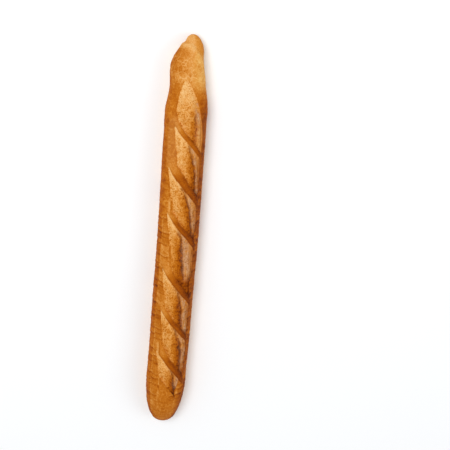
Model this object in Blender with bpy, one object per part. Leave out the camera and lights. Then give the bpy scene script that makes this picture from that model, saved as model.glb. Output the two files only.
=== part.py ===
"""A long white loaf, a baguette, lying on its flat sole with the scored crown up.

The loaf is one closed solid. It is a loft of rings along X: each ring is a D shaped section with a flat
sole, round lower edges and a domed crown. The widths along the loaf come from a few driving dimensions, and
the baker's cuts are a relief worked out from the place of each cut. +X is the knobbed tip, +Y is the side on
the left of someone who looks from the tail towards the tip, and the origin is on the ground under the middle
of the loaf.
"""

import math

import bmesh
import bpy

# ---- Driving dimensions, in metres ----
LENGTH = 0.600              # tip to tail
HALF_WIDTH = 0.0300         # half the width of the body
HEAD_NARROWER = 0.0049      # how much less the half width is in the head
HEAD_LOWER = 0.0045         # how much lower the crown is in the head
WIDENING = (0.067, 0.108)   # distances from the tip at which the head starts and ends to widen
CLIMBING = (0.060, 0.115)   # and at which its crown climbs to the body's
HEIGHT = 0.0490             # sole to crown, in the body
BELLY = 0.44                # share of the height at which the loaf is widest
SOLE_ENDS = (0.045, 0.540)  # distances from the tip between which the sole lies flat on the ground
SOLE_HALF_WIDTHS = (0.0127, 0.0181)  # half the width of the flat sole at those two places
SOLE_WAIST = 0.0006         # how much less it is half way than a straight taper gives
SOLE_INSET = 0.0110         # how far the flat sole stays inside the widest line on a narrow ring
SOLE_SHARE = 0.45           # the least share of the loaf's width that the underside is flat over
CROWN_RADIUS = 0.0285       # turns an angle round the crown into a distance round it
CROWN_WAVE = 0.0009         # slow rise and fall of the crown along the loaf
CROWN_WAVE_LENGTH = 0.170

TIP_ROUNDING = 0.066        # length over which the tip grows to the head's width
TIP_WIDTH_POWER = 1.94      # 2 is an ellipse seen from above, and more is blunter
TIP_HEIGHT_POWER = 2.1      # the same, seen from the side
TAIL_ROUNDING = 0.085       # length over which the body closes to the tail
TAIL_WIDTH_POWER = 2.25
TAIL_HEIGHT_POWER = 2.35
TIP_LIFT = 0.0130           # the underside of the tip curls up by this much
TAIL_LIFT = 0.0100
TIP_LIFT_RUN = 0.045
TAIL_LIFT_RUN = 0.060

SIDE_BOW = 0.0030           # how far the middle of the loaf bows to -Y
KNOB_SHIFT = 0.0040         # the knob on the tip sits this far to -Y
KNOB_ENDS = (0.010, 0.036)  # distances from the tip between which that shift fades
HEAD_SWAY = 0.0019          # the head sways this far to +Y
HEAD_MIDDLE = 0.043
HEAD_REACH = 0.017
NECK_SWAY = 0.0009          # and the loaf behind it this far back to -Y
NECK_MIDDLE = 0.086
NECK_REACH = 0.012

KNOB_DEPTH = 0.0042         # how far the knob lies below the shoulder behind it, on +Y
KNOB_SLANT = 0.48           # share of that depth by which it is shallower towards -Y
KNOB_RUN = 0.0090           # length over which the knob rises to the shoulder
FOLD_FROM = 0.0120          # distance of the shoulder's rim from the tip, on +Y
FOLD_BACK = 0.0260          # how much further back the rim lies on -Y
FOLD_START = -0.0100        # s at which the rim starts to slant back
FOLD_SPAN = 0.0480          # distance round the crown over which it does
FOLD_POWER = 1.6            # the rim slants slowly at first
RIM_RISE = 0.0007           # how far the rim stands up
RIM_WIDTH = 0.0042

# ---- The cuts ----
# One row for each cut: u and s of its upper point, how far round the crown the strap above it crosses, the
# width of that strap round the crown at its root and at its far end, and how far the cut's +Y edge drifts to
# the middle on its way down. u is the distance from the tip along the loaf, and s the distance round the
# crown from its middle line, positive on the -Y side.
CUTS = (
    (0.062, 0.0, 0.0, 0.0, 0.0, 0.0),
    (0.122, -0.0140, 0.0460, 0.0075, 0.0060, 0.0070),
    (0.184, -0.0195, 0.0385, 0.0135, 0.0100, 0.0085),
    (0.249, -0.0170, 0.0405, 0.0065, 0.0090, 0.0125),
    (0.335, -0.0185, 0.0420, 0.0120, 0.0075, 0.0100),
    (0.400, -0.0160, 0.0440, 0.0080, 0.0070, 0.0080),
    (0.464, -0.0180, 0.0410, 0.0120, 0.0080, 0.0090),
)
STRAP_RUN = 0.0530          # length along the loaf in which a strap crosses the crown
STRAP_CURVE = 1.15
FAR_EDGE = 0.0280           # s of the cuts' -Y edge
LAST_EDGE_FROM = 0.512      # u and s of the line that closes the last cut
LAST_EDGE_S = -0.0090
OPENING_WALL = 0.0014       # drop just inside the edge of an opening
OPENING_WALL_RUN = 0.0035   # distance in which the surface falls by that much
OPENING_SWELL = 0.0021      # how far the middle of an opening swells again
OPENING_SWELL_RUN = 0.0100  # distance from the edge at which the swelling is full
STRAP_RISE = 0.0009         # how far the straps stand proud of the crust
STRAP_FADE = 0.018          # length over which that rise comes and goes at the two ends of the row
LINE_STEP = 0.0005          # step with which the slope of an edge is measured

# ---- Mesh ----
END_ZONE = 0.042            # length at each end where the rings crowd together
END_RINGS = 14              # steps between rings in each of those zones
BODY_RINGS = 90             # rings between them
CROWN_POINTS = 27           # points over the crown, from widest line to widest line
CORNER_POINTS = 5           # points round each lower edge
SOLE_POINTS = 3             # points across the flat sole, between its corners


def smooth_step(x, start, end):
    """0 before start, 1 after end, and an S curve between them."""
    t = min(1.0, max(0.0, (x - start) / (end - start)))
    return t * t * (3.0 - 2.0 * t)


def rounding(u, run, power=2.0):
    """Grows from 0 at u = 0 to 1 at u = run, as the quarter of an ellipse does."""
    t = min(1.0, max(0.0, u / run))
    return (1.0 - (1.0 - t) ** power) ** (1.0 / power)


def bump(x, width):
    """A bell that is 1 at x = 0 and has faded at a distance of about two widths."""
    return math.exp(-(x / width) ** 2)


def half_width(u):
    head = HEAD_NARROWER * (1.0 - smooth_step(u, *WIDENING))
    tip = rounding(u, TIP_ROUNDING, TIP_WIDTH_POWER)
    tail = rounding(LENGTH - u, TAIL_ROUNDING, TAIL_WIDTH_POWER)
    return (HALF_WIDTH - head) * tip * tail


def sole_height(u):
    """Height of the underside: zero along the body, and curled up at both ends."""
    tip = (1.0 - rounding(u, TIP_LIFT_RUN)) * TIP_LIFT
    tail = (1.0 - rounding(LENGTH - u, TAIL_LIFT_RUN)) * TAIL_LIFT
    return tip + tail


def crown_height(u):
    """Height of the top, above the ground."""
    low = sole_height(u)
    head = HEAD_LOWER * (1.0 - smooth_step(u, *CLIMBING))
    wave = CROWN_WAVE * math.sin(2.0 * math.pi * u / CROWN_WAVE_LENGTH)
    full = HEIGHT - CROWN_WAVE - head + wave
    tip = rounding(u, TIP_ROUNDING, TIP_HEIGHT_POWER)
    tail = rounding(LENGTH - u, TAIL_ROUNDING, TAIL_HEIGHT_POWER)
    return low + (full - low) * tip * tail


def centre_y(u):
    """The loaf bows gently to -Y in the middle, its knob is set to -Y and its head sways a little."""
    bow = -SIDE_BOW * math.sin(math.pi * u / LENGTH)
    knob = -KNOB_SHIFT * (1.0 - smooth_step(u, *KNOB_ENDS))
    head = HEAD_SWAY * bump(u - HEAD_MIDDLE, HEAD_REACH)
    neck = -NECK_SWAY * bump(u - NECK_MIDDLE, NECK_REACH)
    return bow + knob + head + neck


def along_sole(u):
    """0 where the flat sole begins near the tip, and 1 where it ends near the tail."""
    return min(1.0, max(0.0, (u - SOLE_ENDS[0]) / (SOLE_ENDS[1] - SOLE_ENDS[0])))


def sole_half_width(u):
    """Half the width of the sole: a long taper, a little waisted, so that it stands on its four corners."""
    t = along_sole(u)
    taper = SOLE_HALF_WIDTHS[0] + (SOLE_HALF_WIDTHS[1] - SOLE_HALF_WIDTHS[0]) * t
    width = half_width(u)
    return min(taper - SOLE_WAIST * 4.0 * t * (1.0 - t), max(width - SOLE_INSET, width * SOLE_SHARE))


def sole_centre(u):
    """The middle line of the sole is straight where the sole is flat, whatever the crown above it does."""
    t = along_sole(u)
    if t in (0.0, 1.0):
        return centre_y(u)
    return centre_y(SOLE_ENDS[0]) + (centre_y(SOLE_ENDS[1]) - centre_y(SOLE_ENDS[0])) * t


def knob_relief(u, s):
    """The knob lies below the shoulder behind it, whose rim slants round the tip."""
    back = min(1.2, max(0.0, (s - FOLD_START) / FOLD_SPAN))
    rim = FOLD_FROM + FOLD_BACK * back ** FOLD_POWER
    side = s / (CROWN_RADIUS * math.pi / 2.0)
    on_knob = 1.0 - smooth_step(u, rim - 0.72 * KNOB_RUN, rim + 0.28 * KNOB_RUN)
    depth = KNOB_DEPTH * (1.0 - KNOB_SLANT * (1.0 + side))
    below = depth * on_knob * smooth_step(u, 0.003, 0.013)
    return (RIM_RISE * bump(u - rim - 0.002, RIM_WIDTH) - below) * rounding(u, 0.030)


def strap_lower(u, index):
    """s of the edge of a strap that faces its own cut, the one below it."""
    apex_u, apex_s, crossing = CUTS[index][:3]
    t = (u - apex_u) / STRAP_RUN
    return apex_s + crossing * (t ** STRAP_CURVE if t > 0.0 else 0.8 * t)


def strap_upper(u, index):
    """s of the edge of a strap that faces the cut above it."""
    apex_u, _, _, root, tip, _ = CUTS[index]
    t = min(1.0, max(0.0, (u - apex_u) / STRAP_RUN))
    return strap_lower(u, index) + root + (tip - root) * t


def near_edge(u, index):
    """s of the +Y side of a cut."""
    run = u - CUTS[index][0]
    if index == 0:
        out = -0.013 * rounding(run, 0.028, 1.6)
        return out + 0.005 * smooth_step(run, 0.028, 0.070) + max(-run, 0.0)
    following = CUTS[index + 1][0] if index + 1 < len(CUTS) else LAST_EDGE_FROM + 0.010
    length = following - CUTS[index][0] + 0.005
    return CUTS[index][1] + CUTS[index][5] * smooth_step(run, 0.0, length) ** 0.8


def far_edge(u, index):
    """s of the -Y side of a cut."""
    run = u - CUTS[index][0]
    if index == 0:
        return 0.029 * min(1.0, max(0.0, run / 0.068)) ** 0.66 + min(run, 0.0)
    if index == len(CUTS) - 1:
        return FAR_EDGE - 0.012 * smooth_step(run, 0.025, 0.075)
    return FAR_EDGE - 0.0025 * smooth_step(run, 0.085, 0.110)


def last_edge(u, index):
    """s of the line that closes the last cut, where no strap follows."""
    return LAST_EDGE_S + 0.8 * (u - LAST_EDGE_FROM)


def from_line(line, u, s, index):
    """Distance from a slanting edge, positive on its -Y side."""
    slope = (line(u + LINE_STEP, index) - line(u - LINE_STEP, index)) / (2.0 * LINE_STEP)
    slope = min(4.0, max(-4.0, slope))
    return (s - line(u, index)) / math.sqrt(1.0 + slope ** 2)


def inside_cut(u, s, index):
    """How far a point lies inside one opening, and less than zero outside it."""
    distances = [from_line(near_edge, u, s, index), -from_line(far_edge, u, s, index)]
    if index:
        distances.append(-from_line(strap_lower, u, s, index))
    if index + 1 < len(CUTS):
        distances.append(from_line(strap_upper, u, s, index + 1))
    else:
        distances.append(from_line(last_edge, u, s, index))
    return min(distances)


def cut_relief(u, s):
    """How far the surface stands above (+) or below (-) the uncut crust."""
    inside = max(inside_cut(u, s, index) for index in range(len(CUTS)))
    if inside > 0.0:
        wall = smooth_step(inside, 0.0, OPENING_WALL_RUN)
        swell = smooth_step(inside, 0.0005, OPENING_SWELL_RUN)
        return OPENING_SWELL * swell - OPENING_WALL * wall
    begun = smooth_step(u, CUTS[1][0] - 0.5 * STRAP_FADE, CUTS[1][0] + 0.5 * STRAP_FADE)
    ended = smooth_step(u, LAST_EDGE_FROM - STRAP_FADE, LAST_EDGE_FROM)
    across = smooth_step(s, -0.020, -0.008) * (1.0 - smooth_step(s, 0.020, FAR_EDGE))
    return STRAP_RISE * across * begun * (1.0 - ended)


def section(u):
    """The ring at u: points (y, z) from the +Y end of the sole up, over the crown and down to the -Y end."""
    width, sole = half_width(u), sole_half_width(u)
    centre, under = centre_y(u), sole_centre(u)
    low, top = sole_height(u), crown_height(u)
    belly = low + (top - low) * BELLY

    def corner_point(angle, side):
        """A point of the round lower edge: the sole ends at angle 0, the widest line is at a right angle."""
        share = math.sin(angle) ** 0.9
        y = side * (sole + (width - sole) * share) + under + (centre - under) * share
        return y, belly - (belly - low) * math.cos(angle) ** 0.9

    corner = [math.pi / 2.0 * i / CORNER_POINTS for i in range(CORNER_POINTS)]
    points = [corner_point(angle, 1.0) for angle in corner]
    for i in range(CROWN_POINTS + 1):
        angle = math.pi * i / CROWN_POINTS
        across, up = math.cos(angle), math.sin(angle)
        s = CROWN_RADIUS * (angle - math.pi / 2.0)
        lift = cut_relief(u, s) + knob_relief(u, s)
        points.append((centre + (width + lift) * across, belly + (top - belly) * up ** 0.95 + lift * up))
    points += [corner_point(angle, -1.0) for angle in reversed(corner)]
    for i in range(1, SOLE_POINTS):
        points.append((under - sole + 2.0 * sole * i / SOLE_POINTS, low))
    return points


def ring_places():
    """Distances of the rings from the tip, closer together where the ends round off."""
    crowded = [END_ZONE * (i / END_RINGS) ** 1.7 for i in range(1, END_RINGS)]
    step = (LENGTH - 2.0 * END_ZONE) / (BODY_RINGS - 1)
    body = [END_ZONE + step * i for i in range(BODY_RINGS)]
    return crowded + body + [LENGTH - u for u in reversed(crowded)]


def build_loaf():
    mesh = bpy.data.meshes.new("baguette")
    work = bmesh.new()
    rings = []
    for u in ring_places():
        x = LENGTH / 2.0 - u
        rings.append([work.verts.new((x, y, z)) for y, z in section(u)])
    tip = work.verts.new((LENGTH / 2.0, centre_y(0.0), sole_height(0.0)))
    tail = work.verts.new((-LENGTH / 2.0, centre_y(LENGTH), sole_height(LENGTH)))
    count = len(rings[0])
    for near, far in zip(rings, rings[1:]):
        for i in range(count):
            j = (i + 1) % count
            work.faces.new((near[i], near[j], far[j], far[i]))
    for i in range(count):
        j = (i + 1) % count
        work.faces.new((tip, rings[0][j], rings[0][i]))
        work.faces.new((tail, rings[-1][i], rings[-1][j]))
    bmesh.ops.triangulate(work, faces=work.faces[:])
    bmesh.ops.recalc_face_normals(work, faces=work.faces[:])
    across = [vert.co.y for vert in work.verts]
    middle = (min(across) + max(across)) / 2.0
    bmesh.ops.translate(work, verts=work.verts[:], vec=(0.0, -middle, 0.0))
    work.to_mesh(mesh)
    work.free()
    return mesh


def crust_material():
    material = bpy.data.materials.new("baked_crust")
    material.use_nodes = True
    shader = material.node_tree.nodes["Principled BSDF"]
    shader.inputs["Base Color"].default_value = (0.62, 0.25, 0.045, 1.0)
    shader.inputs["Roughness"].default_value = 0.55
    shader.inputs["Metallic"].default_value = 0.0
    return material


def clear_scene():
    for item in list(bpy.data.objects):
        bpy.data.objects.remove(item, do_unlink=True)


def main():
    clear_scene()
    mesh = build_loaf()
    mesh.materials.append(crust_material())
    mesh.shade_smooth()
    loaf = bpy.data.objects.new("baguette", mesh)
    bpy.context.scene.collection.objects.link(loaf)
    print("baguette:", len(mesh.polygons), "triangles, size", [round(d, 4) for d in loaf.dimensions])


main()
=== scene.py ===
# %% [markdown]
# # A baguette, baked
# This lesson dresses a plain loaf in its crust. The frame is the loaf's real solid, in metres: +X runs to
# the knobbed tip, +Z is up and the loaf lies on its flat sole. Everything below is measured from that solid.

# %% Load the frame
import math

import bpy
import numpy as np
from mathutils import Matrix, Vector, noise


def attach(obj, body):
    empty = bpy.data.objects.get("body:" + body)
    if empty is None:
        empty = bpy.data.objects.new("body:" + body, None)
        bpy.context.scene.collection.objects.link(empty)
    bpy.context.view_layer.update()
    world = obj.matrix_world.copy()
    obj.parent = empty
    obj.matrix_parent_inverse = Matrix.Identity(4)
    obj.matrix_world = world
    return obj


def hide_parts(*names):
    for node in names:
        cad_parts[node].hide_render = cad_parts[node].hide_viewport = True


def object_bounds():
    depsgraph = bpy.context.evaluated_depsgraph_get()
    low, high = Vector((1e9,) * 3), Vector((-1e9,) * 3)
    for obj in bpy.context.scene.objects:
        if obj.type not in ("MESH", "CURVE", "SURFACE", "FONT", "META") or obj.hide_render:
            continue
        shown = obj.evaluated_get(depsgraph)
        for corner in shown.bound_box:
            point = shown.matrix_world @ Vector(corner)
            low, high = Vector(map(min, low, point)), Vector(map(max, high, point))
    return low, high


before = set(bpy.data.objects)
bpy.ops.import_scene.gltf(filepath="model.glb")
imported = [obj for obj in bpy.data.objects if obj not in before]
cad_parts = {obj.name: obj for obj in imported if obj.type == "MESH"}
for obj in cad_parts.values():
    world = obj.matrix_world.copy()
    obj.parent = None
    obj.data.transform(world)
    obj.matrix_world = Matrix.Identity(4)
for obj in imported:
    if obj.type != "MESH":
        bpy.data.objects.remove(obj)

cad_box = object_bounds()
cad_low, cad_high = (np.array(corner) for corner in cad_box)
LENGTH = float(cad_high[0] - cad_low[0])
print("the frame holds", list(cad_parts), "of", np.round((cad_high - cad_low) * 1000.0, 1), "mm")

# %% [markdown]
# ## Soft shapes
# A loaf has no straight edges, so nearly every shape is an eased step, a rounding or a bump. numpy works
# them out for all points at once. Lengths are in metres, and `mm` and `_mm` turn millimetres into them.

# %% Helpers for soft shapes
MM = 0.001


def mm(*lengths):
    return [length * MM for length in lengths]


def ease(x, start, end):
    """0 before start, 1 after end, and an S curve between them."""
    t = np.clip((x - start) / (end - start), 0.0, 1.0)
    return t * t * (3.0 - 2.0 * t)


def rounding(u, run, power=2.0):
    """Grows from 0 at u = 0 to 1 at u = run, as the quarter of an ellipse does."""
    t = np.clip(u / run, 0.0, 1.0)
    return (1.0 - (1.0 - t) ** power) ** (1.0 / power)


def bump(x, width):
    """A bell that is 1 at x = 0 and has faded at a distance of about two widths."""
    return np.exp(-(x / width) ** 2)


def ease_mm(x, start, end):
    return ease(x, start * MM, end * MM)


def bump_mm(x, place, width):
    """A bump of that width at that place, both in millimetres."""
    return bump(x - place * MM, width * MM)


def mix(a, b, share):
    """a where share is 0, and b where it is 1."""
    return a + (b - a) * share


def soft_min(a, b, radius):
    """The lesser of a and b, with the corner where they cross rounded off."""
    h = np.clip(0.5 + 0.5 * (b - a) / radius, 0.0, 1.0)
    return mix(b, a, h) - radius * h * (1.0 - h)


print("half way up an eased step:", ease_mm(0.5 * MM, 0, 1))

# %% [markdown]
# ## The shape of the dough
# Dough rolled under the hands is a long D in section: a flat sole, round lower edges and a domed crown. A
# box with a subdivision modifier would come near, but rules that give width and height for each distance
# from the tip, `u`, keep the crust on the solid everywhere.

# %% Widths
HALF_WIDTH, HEAD_NARROWER, TIP_ROUNDING, TAIL_ROUNDING = mm(30, 4.9, 66, 85)
WIDTH_POWERS, NECK_IN_WIDTH = (1.94, 2.25), (67, 108)


def both_ends(u, powers=(2.0, 2.0)):
    """0 at the tip and at the tail, and 1 along the body between them."""
    return rounding(u, TIP_ROUNDING, powers[0]) * rounding(LENGTH - u, TAIL_ROUNDING, powers[1])


def half_width(u):
    head = HEAD_NARROWER * (1.0 - ease_mm(u, *NECK_IN_WIDTH))
    return (HALF_WIDTH - head) * both_ends(u, WIDTH_POWERS)


print("half width in the middle:", half_width(LENGTH / 2.0) / MM, "mm")

# %% [markdown]
# Both ends curl up off the tray a little, and the crown rises and sinks in a low wave.

# %% Heights
HEIGHT, HEAD_LOWER, CROWN_WAVE, CROWN_WAVE_LENGTH = mm(49, 4.5, 0.9, 170)
TIP_LIFT, TIP_LIFT_RUN, TAIL_LIFT, TAIL_LIFT_RUN = mm(13, 45, 10, 60)
HEIGHT_POWERS, NECK_IN_HEIGHT = (2.1, 2.35), (60, 115)


def sole_height(u):
    tip = (1.0 - rounding(u, TIP_LIFT_RUN)) * TIP_LIFT
    tail = (1.0 - rounding(LENGTH - u, TAIL_LIFT_RUN)) * TAIL_LIFT
    return tip + tail


def crown_height(u):
    low = sole_height(u)
    head = HEAD_LOWER * (1.0 - ease_mm(u, *NECK_IN_HEIGHT))
    wave = CROWN_WAVE * np.sin(2.0 * np.pi * u / CROWN_WAVE_LENGTH)
    return low + (HEIGHT - CROWN_WAVE - head + wave - low) * both_ends(u, HEIGHT_POWERS)


print("height in the middle:", crown_height(LENGTH / 2.0) / MM, "mm")

# %% [markdown]
# Rolled by hand, the loaf is a little bowed, with its knob to one side. The sole is straight, with a slight
# waist, so that the loaf rests on points that are well spread.

# %% Middle line and sole
SIDE_BOW, KNOB_SHIFT, HEAD_SWAY, NECK_SWAY = mm(3, 4, 1.9, 0.9)
SOLE_FROM, SOLE_TO, SOLE_AT_HEAD, SOLE_AT_TAIL = mm(45, 540, 12.7, 18.1)
SOLE_WAIST, SOLE_INSET, SOLE_SHARE = 0.6 * MM, 11.0 * MM, 0.45


def centre_y(u):
    bow = -SIDE_BOW * np.sin(np.pi * u / LENGTH)
    knob = -KNOB_SHIFT * (1.0 - ease_mm(u, 10, 36))
    sway = HEAD_SWAY * bump_mm(u, 43, 17) - NECK_SWAY * bump_mm(u, 86, 12)
    return bow + knob + sway


def along_sole(u):
    return np.clip((u - SOLE_FROM) / (SOLE_TO - SOLE_FROM), 0.0, 1.0)


def sole_half_width(u):
    t, width = along_sole(u), half_width(u)
    taper = mix(SOLE_AT_HEAD, SOLE_AT_TAIL, t) - SOLE_WAIST * 4.0 * t * (1.0 - t)
    return np.minimum(taper, np.maximum(width - SOLE_INSET, width * SOLE_SHARE))


def sole_centre(u):
    """The sole is straight where it lies flat, and follows the loaf where its ends curl up."""
    t = along_sole(u)
    straight = mix(centre_y(SOLE_FROM), centre_y(SOLE_TO), t)
    return np.where((t > 0.0) & (t < 1.0), straight, centre_y(u))


print("bow in the middle:", centre_y(LENGTH / 2.0) / MM, "mm")

# %% [markdown]
# ## A fine skin of points
# The crust could be a displacement modifier on the plain solid, but its points would not know where they
# lie on the loaf. Those of a grid do: a ring of points for each millimetre, closer together at the ends.

# %% Rings along the loaf
END_ZONE, END_RINGS, BODY_RINGS, CROWDING = 42.0 * MM, 52, 560, 1.6
crowded = END_ZONE * (np.arange(1, END_RINGS) / END_RINGS) ** CROWDING
body = np.linspace(END_ZONE, LENGTH - END_ZONE, BODY_RINGS)
rings = np.concatenate([crowded, body, LENGTH - crowded[::-1]])
print(len(rings), "rings,", (body[1] - body[0]) / MM, "mm apart along the body")

# %% [markdown]
# Round a ring the points go up a lower edge, over the crown, down the other edge and back along the sole.

# %% Points round a ring
CROWN_STEPS, CORNER_STEPS, SOLE_STEPS = 104, 13, 18
BELLY, CORNER_POWER, CROWN_POWER = 0.44, 0.9, 0.95


def sections(u):
    """y and z of every point of every ring, from the +Y edge of the sole over the crown and back."""
    u = u[:, None]
    width, low, top = half_width(u), sole_height(u), crown_height(u)
    belly = low + (top - low) * BELLY
    sole, middle, under = sole_half_width(u), centre_y(u), sole_centre(u)
    lower = np.pi / 2.0 * np.arange(CORNER_STEPS)[None, :] / CORNER_STEPS
    over = np.pi * np.arange(CROWN_STEPS + 1)[None, :] / CROWN_STEPS
    flat = np.arange(1, SOLE_STEPS)[None, :] / SOLE_STEPS
    share = np.sin(lower) ** CORNER_POWER
    y_low = sole + (width - sole) * share
    shift = mix(under, middle, share)
    z_low = belly - (belly - low) * np.cos(lower) ** CORNER_POWER
    z_top = belly + (top - belly) * np.abs(np.sin(over)) ** CROWN_POWER
    y_top, y_sole = width * np.cos(over), -sole + 2.0 * sole * flat
    y = [y_low + shift, y_top + middle, (shift - y_low)[:, ::-1], y_sole + under]
    z = [z_low, z_top, z_low[:, ::-1], low + 0.0 * flat]
    return np.concatenate(y, axis=1), np.concatenate(z, axis=1)


ring_y, ring_z = sections(rings)
ring_y = ring_y - (ring_y.min() + ring_y.max()) / 2.0
base = np.stack([np.broadcast_to(LENGTH / 2.0 - rings[:, None], ring_y.shape), ring_y, ring_z], axis=2)
AROUND = base.shape[1]
print(AROUND, "points in each ring")

# %% [markdown]
# Each point knows `U`, its distance from the tip, and `S`, its distance round the crown from the middle
# line, positive on the -Y side. The cross product of the grid's two directions points out of the dough.

# %% Directions on the skin
CROWN_RADIUS = 28.5 * MM
CORNER_ANGLE, SOLE_ANGLE = 0.07, 3.0
U = np.broadcast_to(rings[:, None], ring_y.shape)


def unit(vectors):
    return vectors / np.maximum(np.linalg.norm(vectors, axis=2, keepdims=True), 1e-9)


along = unit(np.gradient(base, axis=0))
across = unit(np.roll(base, -1, axis=1) - np.roll(base, 1, axis=1))
outward = unit(np.cross(along, across))
crown_angle = np.linspace(-np.pi / 2.0, np.pi / 2.0, CROWN_STEPS + 1)
beyond = np.pi / 2.0 + CORNER_ANGLE * np.arange(1, CORNER_STEPS + 1)
underneath = np.full(SOLE_STEPS - 1, SOLE_ANGLE)
angles = np.concatenate([-beyond[::-1], crown_angle, beyond, underneath])
S = np.broadcast_to(angles * CROWN_RADIUS, U.shape)
on_crown = ease(np.pi / 2.0 - np.abs(angles), 0.02, 0.30)[None, :] + 0.0 * U
print("out of the dough in the middle of the top:", outward[len(rings) // 2, CORNER_STEPS + CROWN_STEPS // 2])

# %% [markdown]
# Nearly every detail has its place along the loaf and round it. These helpers say where, in millimetres.

# %% Places on the skin


def down_loaf(start, end):
    """0 nearer the tip than start, and 1 further down than end."""
    return ease_mm(U, start, end)


def round_loaf(start, end):
    """0 on the +Y side of start, and 1 on the -Y side of end, measured as s."""
    return ease_mm(S, start, end)


def share_of(mask):
    """How much of the skin a mask covers, for the cells to print."""
    return f"{float((mask > 0.5).mean()):.1%} of the skin"


print("beyond the neck lies", share_of(down_loaf(60, 115)))

# %% [markdown]
# ## Unevenness
# Dough is never even. Soft noise, read at the points' places, stands for swells, blisters and patchy
# browning. Stretched along the loaf it gives the streaks of torn dough.

# %% Clouds
points = base.reshape(-1, 3)


def clouds(size, seed, stretch=(1.0, 1.0, 1.0)):
    """Soft noise from -1 to 1, whose lumps are about size mm across."""
    shift = Vector((seed * 7.31, seed * 3.77, seed * 5.13))
    scaled = points / (size * MM * np.array(stretch))
    values = [noise.noise(Vector(place) + shift) for place in scaled]
    return np.array(values).reshape(U.shape)


swell = clouds(70, 1)
lumps = clouds(24, 2)
mottle = clouds(9, 3)
blisters = clouds(4.5, 4)
pores = clouds(2.2, 5)
streaks = clouds(2.6, 8, stretch=(5.0, 1.0, 1.0))
wisps = clouds(6, 9, stretch=(3.0, 1.0, 1.0))
print("clouds over", len(points), "points")

# %% [markdown]
# ## Plates
# As a loaf cools, its crust shrinks faster than the crumb and cracks into plates about a centimetre
# across. Voronoi cells have that look, once their places are bent by noise.

# %% Voronoi plates
CRACK_WIDTH, SMALL_CRACK_WIDTH = 0.10, 0.16


def plates(size, bend, seed, stretch=(1.0, 1.0, 1.0)):
    """(distance from the nearest crack, the plate's own number from 0 to 1, its tilt at this point)"""
    size, bend = mm(size, bend)
    shift = Vector((seed * 2.17, seed * 9.41, seed * 4.73))
    scale = size * np.array(stretch)
    borders, owners, tilts = [], [], []
    for place in points:
        bent = Vector(place) + noise.noise_vector(Vector(place) / (0.8 * size) + shift) * bend
        cell = Vector((bent.x / scale[0], bent.y / scale[1], bent.z / scale[2]))
        reach, centres = noise.voronoi(cell + shift)
        own = (centres[0].x * 3.7 + centres[0].y * 5.3 + centres[0].z * 7.9) % 1.0
        lean = Vector((math.cos(own * 40.0), math.sin(own * 40.0), math.sin(own * 91.0)))
        borders.append(reach[1] - reach[0])
        owners.append(own)
        tilts.append(lean.dot(cell + shift - centres[0]))
    return tuple(np.array(values).reshape(U.shape) for values in (borders, owners, tilts))


border, plate_tone, plate_tilt = plates(10, 3.5, 11, stretch=(0.95, 1.1, 1.0))
small_border, small_tone = plates(5, 1.5, 12)[:2]
print("near a crack:", share_of(border < CRACK_WIDTH))

# %% [markdown]
# Further down, the plates lie in columns along each flank, like the scales of a fish. Cells in columns and
# rows do that: each column starts its rows elsewhere, and a row's border bows towards the tip.

# %% Columns of scales
COLUMN_EDGE, COLUMN_WIDTH, ROW_LENGTH, ROW_BOW = -24.0, 14.0, 12.5, 0.4


def scattered(a, b):
    """A number from 0 to 1 that jumps about from cell to cell but is the same each time."""
    return np.abs(np.sin(a * 12.99 + b * 78.23 + 1.7) * 437.58) % 1.0


bent_u = U / MM + 1.6 * clouds(16, 13) + 0.5 * clouds(5, 14)
bent_s = S / MM + 2.2 * clouds(11, 15) + 0.4 * clouds(4, 16)
columns = (bent_s - COLUMN_EDGE) / COLUMN_WIDTH
in_column = columns % 1.0
own_column = np.floor(columns)
rows = bent_u / ROW_LENGTH + scattered(own_column, 3.0) + ROW_BOW * (in_column - 0.5) ** 2
rows = rows + 0.30 * np.sin(rows * 2.1 + own_column) + 0.12 * np.sin(rows * 5.3)
in_row = rows % 1.0
scale_tone = scattered(own_column, np.floor(rows))
row_gap = np.minimum(in_row, 1.0 - in_row) * ROW_LENGTH
column_gap = np.minimum(in_column, 1.0 - in_column) * COLUMN_WIDTH
print("scales:", int(np.unique(own_column * 1000.0 + np.floor(rows)).size))

# %% [markdown]
# ## The baker's cuts
# Seven cuts run down the crown, spaced by eye. In the oven each opens to a leaf of new skin, and the crust
# left between two of them is a strap that crosses from the +Y side to the -Y side. Each row below is one
# cut, in millimetres: where its upper point lies along and across the crown, how far the strap above it
# crosses the crown, how wide that strap is at its root and at its far end, how far the cut's +Y edge drifts
# to the middle on its way down, and where the crease in it starts, how far it bends and how gently.

# %% The cuts
CUTS = (
    (60.5, 0, 0, 0, 0, 0, 13.8, 3, 70),
    (122, -14, 46, 7.5, 6, 7, 7.5, 20, 48),
    (181.5, -19.5, 41, 13.5, 10, 8.5, -2, 26, 35),
    (249, -17, 40.5, 6.5, 9, 12.5, 0.5, 12, 30),
    (335, -18.5, 42, 12, 7.5, 10, 3, 19, 44),
    (400, -16, 44, 8, 7, 8, 5.5, 17, 30),
    (464, -18, 41, 12, 8, 9, 3.5, 18, 38),
)
print("cuts start", [cut[0] for cut in CUTS], "mm from the tip")

# %% [markdown]
# A strap's lower edge faces its own cut, and its upper edge the cut above. Each is a rule that gives `s`
# for each `u`, so any point can tell on which side of it it lies.

# %% Edges of the straps
STRAP_RUN, STRAP_CURVE = 53.0, 1.15


def strap_lower(u, index):
    apex_u, apex_s, crossing = CUTS[index][:3]
    t = (u - apex_u) / STRAP_RUN
    return apex_s + crossing * np.where(t > 0.0, np.abs(t) ** STRAP_CURVE, 0.8 * t)


def strap_upper(u, index):
    apex_u, _, _, root, tip = CUTS[index][:5]
    t = np.clip((u - apex_u) / STRAP_RUN, 0.0, 1.0)
    return strap_lower(u, index) + mix(root, tip, t)


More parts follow.
